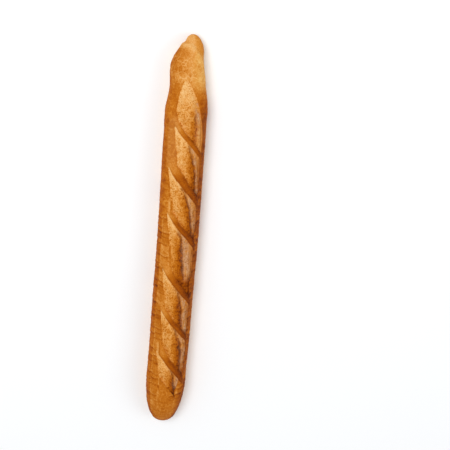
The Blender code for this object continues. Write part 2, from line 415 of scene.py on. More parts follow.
print("the second strap ends at s =", float(strap_lower(CUTS[2][0] + STRAP_RUN, 2)), "mm")

# %% [markdown]
# A cut also has a near edge on the +Y side and a far edge on the -Y side. The first opens in a round arch
# behind the knob. No strap closes the last one, so a line does.

# %% Edges of the cuts
ARCH_HALF, ARCH_RUN, ARCH_RETURN = 13.0, 28.0, 5.0
FAR_REACH, FAR_RUN, FAR_EDGE = 29.0, 68.0, 28.0
LAST_EDGE_FROM, LAST_EDGE_S, LAST_EDGE_SLOPE = 512.0, -9.0, 0.8


def cut_length(index):
    following = CUTS[index + 1][0] if index + 1 < len(CUTS) else LAST_EDGE_FROM + 10.0
    return following - CUTS[index][0]


def near_edge(u, index):
    run = u - CUTS[index][0]
    if index:
        return CUTS[index][1] + CUTS[index][5] * ease(run, 0.0, cut_length(index) + 5.0) ** 0.8
    arch = -ARCH_HALF * rounding(run, ARCH_RUN, 1.6) + ARCH_RETURN * ease(run, ARCH_RUN, 70.0)
    return arch + np.maximum(-run, 0.0)


def far_edge(u, index):
    run = u - CUTS[index][0]
    if index == 0:
        return FAR_REACH * np.clip(run / FAR_RUN, 0.0, 1.0) ** 0.66 + np.minimum(run, 0.0)
    if index == len(CUTS) - 1:
        return FAR_EDGE - 12.0 * ease(run, 25.0, 75.0)
    return FAR_EDGE - 2.5 * ease(run, 85.0, 110.0)


def last_edge(u):
    return LAST_EDGE_S + LAST_EDGE_SLOPE * (u - LAST_EDGE_FROM)


print("cuts are", [cut_length(index) for index in range(len(CUTS))], "mm long")

# %% [markdown]
# Soft noise makes every edge wander. Each opening also has a crease, the line where it tore last, which
# starts at the strap and bends down the loaf.

# %% Distances from lines
CREASE_FROM, STEEPEST = 27.0, 4.0
wander = 1.3 * clouds(15, 6) + 0.55 * clouds(5, 7)
s_mm = S / MM + wander
u_mm = rings / MM


def from_line(line):
    """Distance of every point from a line, positive on its -Y side, in millimetres."""
    slope = np.clip(np.gradient(line, u_mm), -STEEPEST, STEEPEST)
    return (s_mm - line[:, None]) / np.sqrt(1.0 + slope[:, None] ** 2)


def crease_line(index):
    start_s, span, bend = CUTS[index][6:]
    past = np.maximum(u_mm - CUTS[index][0] - CREASE_FROM, 0.0)
    return start_s + span * (1.0 - np.exp(-past / bend))


print("the edges wander by up to", np.abs(wander).max(), "mm")

# %% [markdown]
# For each point, `depth_in` is how far it lies inside an opening, in metres: negative on the crust and
# zero on the edge. `sharp` tells the lips that were pulled off the crumb from the soft edges, `down` how
# far down its cut a point lies, and `crease` how far it is from the crease.

# %% Measure every point against every cut
FAR_OFF, CUT_RUN, FIRST_LAG = 30.0, 62.0, 0.3
EDGE_CORNER, OPENING_CORNER = 1.0, 2.5
zero = np.zeros(U.shape)
sharp, down, in_first = zero, zero, zero
depth_in, crease, under_strap, far_gap = zero - FAR_OFF, zero - FAR_OFF, zero + FAR_OFF, zero + FAR_OFF
for index in range(len(CUTS)):
    run = (u_mm - CUTS[index][0])[:, None]
    first, last = float(index == 0), index + 1 == len(CUTS)
    near, far = from_line(near_edge(u_mm, index)), -from_line(far_edge(u_mm, index))
    above = -from_line(strap_lower(u_mm, index)) if index else far + 10.0
    below = from_line(last_edge(u_mm) if last else strap_upper(u_mm, index + 1))
    soft, hard = soft_min(near, above, EDGE_CORNER), soft_min(below, far, EDGE_CORNER)
    inside = soft_min(soft, hard, OPENING_CORNER)
    chosen = inside > depth_in
    pulled = ease(soft - hard, -1.0, 1.5) * mix(1.0, 0.4, ease(below - far, -1.0, 3.0))
    if index == 0:
        pulled = pulled * ease(run, 22.0, 62.0)
    depth_in = np.where(chosen, inside, depth_in)
    sharp = np.where(chosen, pulled, sharp)
    under_strap, far_gap = np.where(chosen, above, under_strap), np.where(chosen, far, far_gap)
    down = np.where(chosen, run / CUT_RUN - FIRST_LAG * first, down)
    crease = np.where(chosen, from_line(crease_line(index)), crease)
    in_first = np.where(chosen, first, in_first)

depth_in = np.where(on_crown > 0.0, depth_in, -FAR_OFF) * MM
crease = crease * MM
opening = ease_mm(depth_in, -0.3, 0.7)
crust = 1.0 - opening
print("open:", share_of(opening))

# %% [markdown]
# A point knows how surely it is on a strap, how far across it and how far down it. Beside its root each
# strap has pulled a short crack into the crust.

# %% Measure every point against every strap
ROOT_BEHIND, ROOT_SLANT, ROOT_WIDTH = 3.5, 0.25, 0.8
on_strap, strap_share, strap_down, root_crack = zero, zero, zero, zero
for index in range(1, len(CUTS)):
    run = (u_mm - CUTS[index][0])[:, None]
    across_strap = from_line(strap_lower(u_mm, index))
    share = across_strap / (across_strap - from_line(strap_upper(u_mm, index)))
    here = ease(share, -0.15, 0.05) * (1.0 - ease(share, 0.95, 1.15))
    here = here * ease(run, -16.0, 0.0) * (1.0 - ease(s_mm, 27.0, 33.0))
    strap_share = np.where(here > on_strap, share, strap_share)
    strap_down = np.where(here > on_strap, np.clip(run / STRAP_RUN, 0.0, 1.2), strap_down)
    on_strap = np.maximum(on_strap, here)
    root_line = bump(run + ROOT_BEHIND + ROOT_SLANT * (s_mm - CUTS[index][1]), ROOT_WIDTH)
    root_line = root_line * ease(share, -0.45, -0.15) * (1.0 - ease(share, 0.85, 1.0))
    root_crack = np.maximum(root_crack, root_line)
on_strap = on_strap * crust
print("on a strap:", share_of(on_strap))

# %% [markdown]
# ## The relief of the cuts
# The edges must be clean lines, or light would catch on the steps of the grid. So points close to an edge
# are slid onto it.

# %% Slide points onto the edges
SNAP, SMALLEST_STEP = mm(0.45, 0.2)
slope_u = np.gradient(depth_in, axis=0) / np.maximum(np.gradient(U, axis=0), SMALLEST_STEP)
slope_s = np.gradient(depth_in, axis=1) / np.maximum(np.gradient(S, axis=1), SMALLEST_STEP)
steep = np.maximum(np.hypot(slope_u, slope_s), 0.3)
beside_edge = np.abs(depth_in) < SNAP
slide = np.where(beside_edge, -depth_in / steep, 0.0)
depth_in = np.where(beside_edge, 0.0, depth_in)
print("slid onto an edge:", share_of(beside_edge))

# %% [markdown]
# On the crease's -Y side lies a flap of torn skin, and on its +Y side the floor sinks towards it. In the
# first opening it is only a short pocket.

# %% The crease and the torn flap
CREASE_WIDTH, POCKET_AT, POCKET_LENGTH = 1.5 * MM, 113.0, 8.5
creased = ease(down, 0.40, 0.55) * (1.0 - ease(down, 1.5, 1.75)) * opening
crease_path = crease + 1.8 * MM * mottle + 1.1 * MM * blisters
pocket = bump_mm(U, POCKET_AT, POCKET_LENGTH)
past_pocket = in_first * down_loaf(120, 130)
in_crease = bump(crease_path, CREASE_WIDTH) * creased * ease(wisps, -0.55, -0.05)
in_crease = in_crease * mix(1.0, pocket, in_first)
torn = ease(crease_path, 0.6 * MM, mix(2.4, 7.0, in_first) * MM) * creased
towards_crease = ease_mm(crease, -10, -0.5) * (1.0 - torn)
towards_crease = towards_crease * creased * (1.0 - 0.8 * past_pocket)
print("torn:", share_of(torn))

# %% [markdown]
# The flap starts with a pale ragged edge, torn by stretched noise, and fine noise makes the pits where
# holes of the crumb show. Their dark colour, added later, is painted shade in the holes.

# %% Pale edge and pits
pale_width = (mix(2.0, 3.3, down_loaf(205, 225)) + 1.7 * down_loaf(270, 290)) * MM
pale_edge = bump(crease_path - pale_width - 1.0 * MM, pale_width) * creased * (1.0 - in_first)
pale_edge = pale_edge * ease(streaks + 0.6 * pores + 0.8 * mottle, -0.50, 0.25)
pit_reach = mix(3.0, 9.0, down_loaf(195, 285)) * MM
pitted = ease_mm(crease, -9, -1) * (1.0 - ease_mm(crease - pit_reach, 0, 5))
pitted = np.maximum(pitted * creased, 0.35 * ease(down, 0.15, 0.5) * opening)
pits = ease(pores + 0.7 * blisters, 0.22, 0.45) * pitted
print("in pits:", share_of(pits))

# %% [markdown]
# An opening drops inside its edge, most under a sharp lip, and swells in its middle, where the crumb pushed
# up. The crease, the floor beside it and the pits sink into that.

# %% Heights inside the openings
WALL_SOFT, WALL_SHARP, WALL_RUN = mm(0.8, 1.9, 2)
SWELL_RISE, SWELL_RUN = mm(2.1, 10)
CREASE_DEPTH, FLAP_DEPTH, FLOOR_DEPTH, PIT_DEPTH = mm(1.6, 0.4, 1.1, 0.45)
open_fall = mix(WALL_SOFT, WALL_SHARP, sharp) * ease(depth_in, 0.0, WALL_RUN)
open_rise = SWELL_RISE * ease(depth_in, 0.5 * MM, SWELL_RUN)
rough = 0.15 * pores + 0.16 * blisters + 0.28 * torn * streaks + 0.30 * pale_edge * (1.0 + pores)
sunk = (
    CREASE_DEPTH * in_crease + FLAP_DEPTH * torn * (1.0 - past_pocket)
    + FLOOR_DEPTH * towards_crease + PIT_DEPTH * pits
)
cut_relief = opening * (open_rise - open_fall + rough * MM) - sunk
print("the openings sink to", cut_relief.min() / MM, "mm")

# %% [markdown]
# The crust's edge turns up in a lip, high where it was pulled off: the ear of a baguette. Each strap is a
# low dome across.

# %% Lips and straps
LIP_LOW, LIP_RISE, LIP_WIDTH = mm(0.1, 1, 2.2)
STRAP_RISE, STRAP_DOME, ROOT_DEPTH = mm(0.5, 0.7, 0.3)
lip = bump(np.minimum(depth_in, 0.0), LIP_WIDTH) * crust * on_crown
between_cuts = round_loaf(-20, -8) * (1.0 - round_loaf(20, 28))
between_cuts = between_cuts * down_loaf(112, 130) * (1.0 - down_loaf(500, 520))
cut_relief = (
    cut_relief + lip * mix(LIP_LOW, LIP_RISE, sharp) * (1.0 + 0.4 * mottle)
    + STRAP_RISE * between_cuts * crust
    + STRAP_DOME * on_strap * np.sin(np.pi * np.clip(strap_share, 0.0, 1.0))
    - ROOT_DEPTH * root_crack
)
print("the lips rise to", cut_relief.max() / MM, "mm")

# %% [markdown]
# Beside two openings the skin also split, which leaves a narrow pale slit with a thin roll of crust beside
# it. Each row is one slit: its start and end along the loaf, and across it.

# %% Side tears
SIDE_TEARS = ((227.0, 254.0, -14.5, -13.5), (452.0, 476.0, -16.5, -15.0))
SLIT_WIDTH, SLIT_DEPTH, ROLL_BESIDE, ROLL_WIDTH, ROLL_RISE = 2.2, 0.7, 3.9, 1.5, 0.8
slit, roll = zero, zero
for start, end, start_s, end_s in SIDE_TEARS:
    t = np.clip((u_mm - start) / (end - start), 0.0, 1.0)
    beside = from_line(mix(start_s, end_s, t))
    tapered = (np.sin(np.pi * t) ** 0.7)[:, None]
    slit = np.maximum(slit, bump(beside, SLIT_WIDTH) * tapered)
    roll = np.maximum(roll, bump(beside - ROLL_BESIDE, ROLL_WIDTH) * tapered)
cut_relief = cut_relief + MM * (ROLL_RISE * roll - SLIT_DEPTH * slit)
print("in the slits:", share_of(slit))

# %% [markdown]
# ## The knob and its fold
# The tip was rolled off last. The knob lies lower than the shoulder behind it, whose rim is a ridge that
# slants round the tip, from close to the end on the +Y side to further back on the -Y side.

# %% The knob
KNOB_DEPTH, RIDGE_RISE, RIDGE_WIDTH = mm(4.2, 0.7, 4.2)
FOLD_FROM, FOLD_BACK, FOLD_S, FOLD_SPAN = mm(12, 26, -10, 48)
fold_place = FOLD_FROM + FOLD_BACK * np.clip((S - FOLD_S) / FOLD_SPAN, 0.0, 1.2) ** 1.6
fold_place = fold_place + 0.3 * MM * mottle
side = np.clip(S / (CROWN_RADIUS * np.pi / 2.0), -1.0, 1.0)
on_knob = 1.0 - ease(U, fold_place - 6.5 * MM, fold_place + 2.5 * MM)
knob_relief = -KNOB_DEPTH * (0.52 - 0.48 * side) * on_knob * down_loaf(3, 13)
ridge = bump(U - fold_place - 2.0 * MM, RIDGE_WIDTH) * on_crown
knob_relief = knob_relief + RIDGE_RISE * ridge
print("the fold lies from", fold_place.min() / MM, "to", fold_place.max() / MM, "mm from the tip")

# %% [markdown]
# ## The crust between the cuts
# The flanks and the head show the plates most, and further down the flanks the scales take over.

# %% Where plates and scales show
flank = ease_mm(np.abs(S), 12, 24)
scaly = down_loaf(225, 262) * (1.0 - down_loaf(535, 565))
scaly = mix(0.22, 1.0, scaly) * down_loaf(75, 115) * ease_mm(np.abs(S), 6, 10)
scaly = scaly * (1.0 - on_strap) * crust
plate_strength = mix(0.35, 1.0, flank) * mix(0.55, 1.0, down_loaf(150, 260))
plate_strength = np.maximum(plate_strength, 0.8 * (1.0 - down_loaf(50, 80)))
plate_strength = plate_strength * (1.0 - 0.7 * scaly) * (1.0 - 0.6 * on_strap)
print("scaly:", share_of(scaly))

# %% [markdown]
# Cracks follow the borders of plates and scales. Soft noise closes some, or each would look like a tile.

# %% Cracks
crack = (1.0 - ease(border, 0.02, CRACK_WIDTH)) * ease(lumps + 0.5 * mottle, -0.55, 0.1)
small_crack = (1.0 - ease(small_border, 0.03, SMALL_CRACK_WIDTH)) * ease(lumps, -0.3, 0.4)
row_crack = 1.0 - ease(row_gap, 0.3, 1.1)
column_crack = (1.0 - ease(column_gap, 0.3, 1.2)) * down_loaf(235, 270)
scale_crack = np.maximum(row_crack, column_crack) * ease(mottle + lumps, -0.8, -0.1) * scaly
print("cracked:", share_of(np.maximum(crack * crust, scale_crack)))

# %% [markdown]
# Each plate has its own height and lean, and a fine groove round it. Fine wrinkles cross the flanks, and
# slow swells keep any part from being quite straight.

# %% Crust relief
GROOVE, PLATE_STEP, PLATE_LEAN = mm(0.35, 0.30, 0.45)
SCALE_GROOVE, SCALE_STEP, SCALE_LEAN, SMALL_GROOVE = mm(0.3, 0.3, 0.65, 0.08)
SWELLS, LUMPS = mm(0.6, 0.45)
plate_relief = PLATE_STEP * (plate_tone - 0.5) + PLATE_LEAN * plate_tilt
plate_relief = ease(border, 0.0, 0.22) * plate_relief - GROOVE * crack
scale_relief = SCALE_LEAN * (in_row - 0.5) * (1.0 - ease(in_row, 0.92, 1.0))
scale_relief = scale_relief + SCALE_STEP * (scale_tone - 0.5)
scale_relief = scale_relief * ease(column_gap, 0.0, 1.5) - SCALE_GROOVE * scale_crack
wrinkles = clouds(2.8, 17, stretch=(1.0, 4.0, 4.0))
fine_relief = 0.14 * mottle + 0.09 * blisters + 0.07 * wrinkles * flank
crust_relief = crust * plate_strength * plate_relief + scaly * scale_relief
crust_relief = crust_relief - SMALL_GROOVE * crust * small_crack + fine_relief * MM * crust
slow_relief = SWELLS * swell + LUMPS * lumps
print("the plates' relief is up to", crust_relief.max() / MM, "mm")

# %% [markdown]
# Every point moves out of the dough by its relief, which fades towards the flat sole and the crowded ends.
# The sharp lips also lean over their openings, so their points move sideways, which displacement can't do.

# %% Move the points
LIP_LEAN, LEAN_WIDTH = mm(1.1, 1.2)
resting = ease_mm(ring_z, 0.2, 3)
end_fade = ease(both_ends(U), 0.05, 0.35)
relief = (cut_relief + crust_relief + slow_relief) * mix(0.1, 1.0, end_fade) * resting + knob_relief * resting
lean = LIP_LEAN * sharp * bump(np.minimum(depth_in, 0.0), LEAN_WIDTH) * (depth_in < SNAP)
lean = lean * on_crown * end_fade
sideways = along * (slope_u / steep)[..., None] + across * (slope_s / steep)[..., None]
skin = base + outward * relief[..., None] + sideways * (slide + lean)[..., None]
skin[..., 2] = np.maximum(skin[..., 2], 0.0)
print("the skin spans", np.ptp(skin, axis=(0, 1)) / MM, "mm")

# %% [markdown]
# ## How well done each point is
# One number, `bake`, runs from 0 for raw cream to 1 for nearly burnt, and a colour ramp reads it later. It
# also carries the painted shade and painted light marked below. The far flank is darkest: partly a browner
# crust, and partly painted shade.

# %% Head, crown and flanks
HEAD_BAKE, CROWN_BAKE, NEAR_FLANK_BAKE, FAR_FLANK_BAKE_AND_SHADE = 0.50, 0.625, 0.63, 0.86
HEAD_REACH, HEAD_NEAR_SHADE, HEAD_FAR_LIGHT = 28.0 * MM, 0.145, 0.12
head_side = np.clip(S / HEAD_REACH, -1.0, 1.0)
# The head's +Y side is darkened partly by painted shade, and its -Y side lightened partly by painted light.
head_bake_and_light = HEAD_BAKE - mix(HEAD_NEAR_SHADE, HEAD_FAR_LIGHT, head_side > 0.0) * head_side
bake = mix(head_bake_and_light, CROWN_BAKE, down_loaf(55, 105))
# The far flank's darker colour is partly browner crust and partly painted shade.
far_flank_bake_and_shade = round_loaf(16, 32) * (1.0 - 0.75 * round_loaf(35, 44))
head_end = ease_mm(U + 9.0 * MM * lumps + 5.0 * MM * mottle, 62, 118)
bake = mix(bake, FAR_FLANK_BAKE_AND_SHADE, far_flank_bake_and_shade * head_end)
near_flank = ease_mm(-S, 19, 27) * down_loaf(66, 95)
near_flank = np.maximum(near_flank, bump_mm(U, 92, 14) * ease_mm(-S, 10, 16))
bake = mix(bake, NEAR_FLANK_BAKE, near_flank)
print("bake from", bake.min(), "to", bake.max())

# %% [markdown]
# Clouds make the browning uneven, and each plate and scale has its own tone. Below the edge of each scale
# lies a band of painted shade, and its rim carries a painted highlight.

# %% Uneven browning
SMALL_TONE, SCALE_TONE, SCALE_EDGE_SHADE, SCALE_RIM_HIGHLIGHT = 0.05, 0.14, 0.15, 0.06
uneven = 0.05 * swell + 0.06 * lumps + 0.04 * mottle + 0.03 * blisters
past_head = down_loaf(60, 100)
uneven = uneven * mix(0.5, 1.0, past_head) * (1.0 - 0.5 * scaly)
# Painted shade in a band below each scale's overlapping edge, and a painted highlight on its rim.
bake = (
    bake + uneven + mix(0.10, 0.16, past_head) * (plate_tone - 0.5) * plate_strength
    + SMALL_TONE * (small_tone - 0.5)
    + scaly * (SCALE_TONE * (scale_tone - 0.5) + SCALE_EDGE_SHADE * bump(in_row - 0.10, 0.12))
    - SCALE_RIM_HIGHLIGHT * scaly * bump(in_row - 0.86, 0.10)
)
print("uneven up to", np.abs(uneven).max())

# %% [markdown]
# Strips of crust with their own tone lie beside the first opening and between the near flank and the cuts,
# and the near flank darkens down the loaf, partly browner and partly painted shade.

# %% Strips beside the cuts
first_side = round_loaf(13, 18) * (1.0 - round_loaf(23, 28))
first_side = first_side * down_loaf(72, 84) * (1.0 - down_loaf(95, 115))
inner_strip = round_loaf(-26.5, -23.5) * (1.0 - round_loaf(-10, -6))
plain_strip = down_loaf(182, 190) * (1.0 - down_loaf(252, 262))
inner_strip = inner_strip * down_loaf(100, 120) * (1.0 - plain_strip) * crust
bake = bake + 0.08 * first_side - 0.01 * inner_strip + mix(0.07, 0.13, plain_strip) * wrinkles * flank
# The near flank's darkening down the loaf is partly browner crust and partly painted shade.
down_flank_and_shade = 0.06 * down_loaf(112, 125) + 0.01 * down_loaf(185, 200) + 0.02 * down_loaf(255, 270)
bake = bake + down_flank_and_shade * near_flank * (1.0 - inner_strip)
print("on the inner strip:", share_of(inner_strip))

# %% [markdown]
# The knob stayed pale. A strap is gold at its root and nearly burnt at its far end, where it lifted clear
# of the moist dough. Along its edge towards the cut above it is darker still, partly burnt and partly
# painted shade, and a lighter band along its dome is a painted highlight.

# %% Knob and straps
KNOB_BAKE, STRAP_ROOT_BAKE, STRAP_MIDDLE_BAKE, STRAP_END_BAKE = 0.40, 0.53, 0.80, 0.93
knob_bake = KNOB_BAKE + 0.09 * round_loaf(0, 22) + 0.3 * uneven
bake = mix(bake, knob_bake, on_knob * (1.0 - down_loaf(20, 40)))
strap_bake = mix(STRAP_ROOT_BAKE, STRAP_MIDDLE_BAKE, ease(strap_down, 0.08, 0.40))
strap_bake = mix(strap_bake, STRAP_END_BAKE, ease(strap_down, 0.40, 0.95)) + 0.5 * uneven
# Painted shade together with burning along the strap's edge towards the cut above, and a painted highlight
# along its dome.
burnt_and_shaded_edge = ease(strap_share, 0.50, 0.90) * ease(strap_down, 0.05, 0.30)
strap_bake = strap_bake + 0.04 * burnt_and_shaded_edge - 0.03 * bump(strap_share - 0.30, 0.25)
first_strap = ease(strap_down, 0.15, 0.50) * (1.0 - down_loaf(165, 180))
strap_bake = strap_bake - 0.09 * first_strap
bake = mix(bake, strap_bake, on_strap)
print("nearly burnt:", share_of(bake > 0.8))

# %% [markdown]
# Lips brown a little more. The pale ridge of the fold is a painted highlight, where the shoulder catches
# the light. Cracks are paler, as they opened late.

# %% Lips, ridge and cracks
RIDGE_HIGHLIGHT_BAKE, ROOT_DARK, SMALL_CRACK_PALE, SCALE_CRACK_PALE = 0.32, 0.07, 0.06, 0.10
bake = bake + lip * mix(0.04, 0.06, sharp) + ROOT_DARK * root_crack
# Painted highlight: the ridge of the fold is made pale.
bake = mix(bake, RIDGE_HIGHLIGHT_BAKE + 0.3 * uneven, 0.82 * ridge * (1.0 - down_loaf(44, 56)))
bake = bake - mix(0.06, 0.15, down_loaf(70, 110)) * crack * plate_strength
bake = bake - SMALL_CRACK_PALE * small_crack * (1.0 - 0.7 * on_strap) - SCALE_CRACK_PALE * scale_crack
print("mean bake:", bake.mean())

# %% [markdown]
# The new skin of an opening is palest. It darkens down the cut, where it was laid bare first. Towards the
# crease and the far edge it is darkened with painted shade, as the skin slopes away from the light.

# %% New skin in the openings
NEW_SKIN_BAKE, BY_CREASE_SHADE, BY_FAR_EDGE_SHADE, BY_FIRST_EDGE_SHADE = 0.31, 0.36, 0.18, 0.12
by_crease_shade = ease_mm(crease, -16, -1) * ease(down, 0.45, 0.95)
by_crease_shade = by_crease_shade * (1.0 - 0.5 * past_pocket)
by_far_edge_shade = round_loaf(20, 29) * ease(down, 0.25, 0.6)
by_first_edge_shade = round_loaf(5, 17) * down_loaf(72, 85) * in_first
# Painted shade darkens the skin towards the crease, the far edge and the -Y side of the first opening.
open_bake = (
    NEW_SKIN_BAKE + 0.05 * lumps + 0.05 * mottle + 0.05 * blisters + 0.05 * pores
    + 0.06 * ease(down, 0.0, 0.5) + BY_CREASE_SHADE * by_crease_shade + BY_FAR_EDGE_SHADE * by_far_edge_shade
    + 0.05 * ease(down, 0.7, 1.3) * (1.0 - in_first) + 0.03 * in_first
    + BY_FIRST_EDGE_SHADE * by_first_edge_shade + 0.05 * down_loaf(250, 290)
    # Paler just below a strap's edge: partly fresh skin, partly a painted highlight where the skin bulges up.
    - 0.06 * bump(under_strap - 1.5, 2.5) - 0.02 * (1.0 - ease(down, 0.0, 0.25))
    # Painted shade under a sharp lip.
    + 0.06 * sharp * (1.0 - ease_mm(depth_in, 0, 4))
)
print("new skin is baked", open_bake[opening > 0.5].mean())

# %% [markdown]
# The torn flap is browner, and the far rim most of all. Its pits and the crease are darkened with painted
# shade. Patches where the flap stayed stuck are paler.

# %% Torn skin, rims and slits
TORN_BAKE, RIM_DARK, PATCH_PALE, SLIT_BAKE, ROLL_BAKE = 0.51, 0.22, 0.12, 0.41, 0.69
torn_bake = TORN_BAKE - 0.12 * in_first + 0.06 * mottle + 0.05 * wisps + 0.08 * by_far_edge_shade
open_bake = mix(open_bake, torn_bake, 0.85 * torn)
first_patch = past_pocket * bump_mm(U, 135, 9) * bump_mm(crease, 4, 3)
third_patch = bump_mm(U, 240, 16) * bump_mm(crease, 3.5, 4.5) * (1.0 - in_first)
pale_patch = np.maximum(first_patch, third_patch)
# Painted shade darkens the crease and the pits.
open_bake = open_bake + 0.10 * in_crease + mix(0.20, 0.25, torn) * pits - PATCH_PALE * pale_patch
far_rim = (1.0 - ease(far_gap, 0.0, 3.5)) * ease(down, 0.15, 0.45) * (1.0 - 0.7 * in_first)
bake = mix(bake, open_bake + RIM_DARK * far_rim, opening)
bake = mix(bake, SLIT_BAKE + 0.3 * uneven, slit)
bake = mix(bake, ROLL_BAKE, 0.9 * roll)
print("torn skin is baked", bake[torn > 0.5].mean())

# %% [markdown]
# ## Masks for the finish
# Skin that was stretched until it dried turned grey: in a slanting streak of the first opening, along its
# pocket, and on the pale edge of every torn flap. `crackle` says how strongly hairline cracks show, and
# `patchy` how blotched the colour is.

# %% Grey skin, crackle and blotches
GREY_FROM, GREY_S, GREY_SLANT = 88.0 * MM, 13.0 * MM, 0.25
greyed = bump(S - GREY_S - GREY_SLANT * (U - GREY_FROM), 3.5 * MM) * in_first
greyed = greyed * down_loaf(80, 95) * (1.0 - down_loaf(108, 122))
greyed = greyed * ease(mottle + blisters, -0.35, 0.2)
greyed = np.maximum(greyed, 0.9 * in_first * pocket * bump_mm(crease, 4.5, 3))
past_grey = 0.3 * in_first * bump_mm(U, 132, 12) * bump_mm(S, 19, 4)
greyed = np.maximum(greyed, np.maximum(past_grey, 0.9 * pale_edge)) * opening * (1.0 - 0.8 * pits)
greyed = np.maximum(greyed, 0.08 * inner_strip * (1.0 - down_loaf(165, 190)))

crackle = (
    mix(1.10, 0.75, round_loaf(-10, 12)) * down_loaf(22, 34) * (1.0 - 0.5 * down_loaf(52, 70))
    * (1.0 - 0.7 * on_strap) * (1.0 - 0.3 * inner_strip) * (1.0 - ridge) * crust
)
patchy = mix(0.65, 0.55, opening) * (1.0 - 0.25 * np.maximum(on_strap, inner_strip))
patchy = patchy * mix(0.6, 1.0, down_loaf(20, 40))
print("grey:", share_of(greyed), "- crackled:", share_of(crackle))

# %% [markdown]
# The lower flanks stay pale in the shade, and the sole is a dull light brown. The near flank and one side
# of the head have a golden tint.

# %% Shaded flanks, golden flank and sole
SHADED_BAKE, SOLE_BAKE, HEAD_GOLD = 0.17, 0.46, 0.74
pale_flank = 1.0 - ease_mm(ring_z + 5.0 * MM * lumps + 2.0 * MM * mottle, 5, 15)
golden_edge = mix(14.0, 22.0, down_loaf(112, 122)) - 8.0 * plain_strip
golden = ease(-bent_s - golden_edge, 0.0, 6.0) * down_loaf(50, 85)
head_far_side = round_loaf(5, 18) * (1.0 - down_loaf(95, 110))
golden = np.maximum(golden, HEAD_GOLD * head_far_side) * crust * (1.0 - pale_flank) * (1.0 - slit)
sole = 1.0 - ease_mm(ring_z - sole_height(U), 0.3, 2)
bake = mix(bake, SHADED_BAKE + 0.06 * mottle, 0.85 * pale_flank)
bake = mix(bake, SOLE_BAKE + 0.08 * lumps + 0.08 * mottle, sole)
bake = np.clip(bake, 0.0, 1.0)
print("bake from", bake.min(), "to", bake.max())

# %% [markdown]
# ## From points to a mesh
# The rings are joined with four-sided faces and closed by a fan at the tip and the tail.

# %% Build the crust mesh
ring_count = skin.shape[0]
tip_point = [LENGTH / 2.0, skin[0, :, 1].mean(), skin[0, :, 2].mean()]
tail_point = [-LENGTH / 2.0, skin[-1, :, 1].mean(), skin[-1, :, 2].mean()]
vertices = np.concatenate([skin.reshape(-1, 3), [tip_point, tail_point]])
TIP, TAIL = len(vertices) - 2, len(vertices) - 1
faces = []
for ring in range(ring_count - 1):
    for place in range(AROUND):
        a, b = ring * AROUND + place, ring * AROUND + (place + 1) % AROUND
        faces.append((a, a + AROUND, b + AROUND, b))
last_ring = (ring_count - 1) * AROUND
for place in range(AROUND):
    following = (place + 1) % AROUND
    faces.append((TIP, place, following))
    faces.append((TAIL, last_ring + following, last_ring + place))

crust_mesh = bpy.data.meshes.new("baguette_crust")
crust_mesh.from_pydata(vertices.tolist(), [], faces)
crust_mesh.update()
crust_mesh.shade_smooth()
print("crust:", len(crust_mesh.vertices), "points,", sum(len(f) - 2 for f in faces), "triangles")

# %% [markdown]
# The masks become attributes of the points, for the material to read. A pole takes the mean of its ring.

# %% Keep the masks
masks = {
    "bake": bake, "opening": opening, "torn": torn, "crease": in_crease, "greyed": greyed,
    "crackle": crackle, "patchy": patchy, "golden": golden,
    "crack": np.maximum(crack * crust * plate_strength, scale_crack),
    "sole": np.maximum(sole, 0.6 * pale_flank),
}
for name, values in masks.items():
    layer = crust_mesh.attributes.new(name, "FLOAT", "POINT")
    poles = [values[0].mean(), values[-1].mean()]
    layer.data.foreach_set("value", np.concatenate([values.ravel(), poles]).astype(np.float32))
print("masks:", list(masks))

# %% [markdown]
# ## A map for painting
# A finish painted on the loaf needs a flat map of it. Length runs across and girth runs up, in one strip
# for each half of the loaf, so that the scale is nearly the same both ways and nothing overlaps.

# %% Lay the map in two strips
MAP_MARGIN, MIDDLE_OVERLAP = 0.004, 3.0 * MM
corner_points = np.zeros(len(crust_mesh.loops), int)
crust_mesh.loops.foreach_get("vertex_index", corner_points)
face_sizes = np.zeros(len(crust_mesh.polygons), int)
crust_mesh.polygons.foreach_get("loop_total", face_sizes)
face_of = np.repeat(np.arange(len(face_sizes)), face_sizes)
ring_of = np.minimum(corner_points // AROUND, ring_count - 1)
is_pole = corner_points >= TIP
corner_u = np.where(corner_points == TIP, 0.0, np.where(corner_points == TAIL, LENGTH, rings[ring_of]))
first_ring = np.full(len(face_sizes), ring_count - 1)
np.minimum.at(first_ring, face_of, np.where(corner_points == TIP, 0, ring_of))
tail_half = (rings[first_ring] > LENGTH / 2.0)[face_of]
column = np.where(is_pole, -1, corner_points % AROUND)
widest = np.zeros(len(face_sizes), int)
np.maximum.at(widest, face_of, column)
turn = np.where((widest == AROUND - 1)[face_of] & (column == 0), AROUND, column).astype(float)
turn = np.where(is_pole, widest[face_of] - 0.5, turn)
reach = (corner_u - np.where(tail_half, LENGTH / 2.0, 0.0)) / (LENGTH / 2.0 + MIDDLE_OVERLAP)
map_x = MAP_MARGIN + (1.0 - 2.0 * MAP_MARGIN) * reach
map_y = MAP_MARGIN + (0.5 - 2.0 * MAP_MARGIN) * turn / AROUND + 0.5 * tail_half
map_layer = crust_mesh.uv_layers.new(name="OFBake")
map_layer.data.foreach_set("uv", np.stack([map_x, map_y], axis=1).ravel().astype(np.float32))
print("the map spans", map_x.max(), "by", map_y.max())

# %% [markdown]
# The crust rides on the frame's only body and stands for the plain loaf, which it hides.

# %% Place the crust
scene = bpy.context.scene
loaf = bpy.data.objects.new("baguette_crust", crust_mesh)
scene.collection.objects.link(loaf)
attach(loaf, "root")
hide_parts("baguette")
print("placed:", loaf.name)

# %% [markdown]
# ## Shader building blocks
# Nodes are easier to read when each is made by one short call. `add` makes a node in the tree at hand and
# sets its inputs: an input gets a plain value, or the output that feeds it.

# %% Node helpers


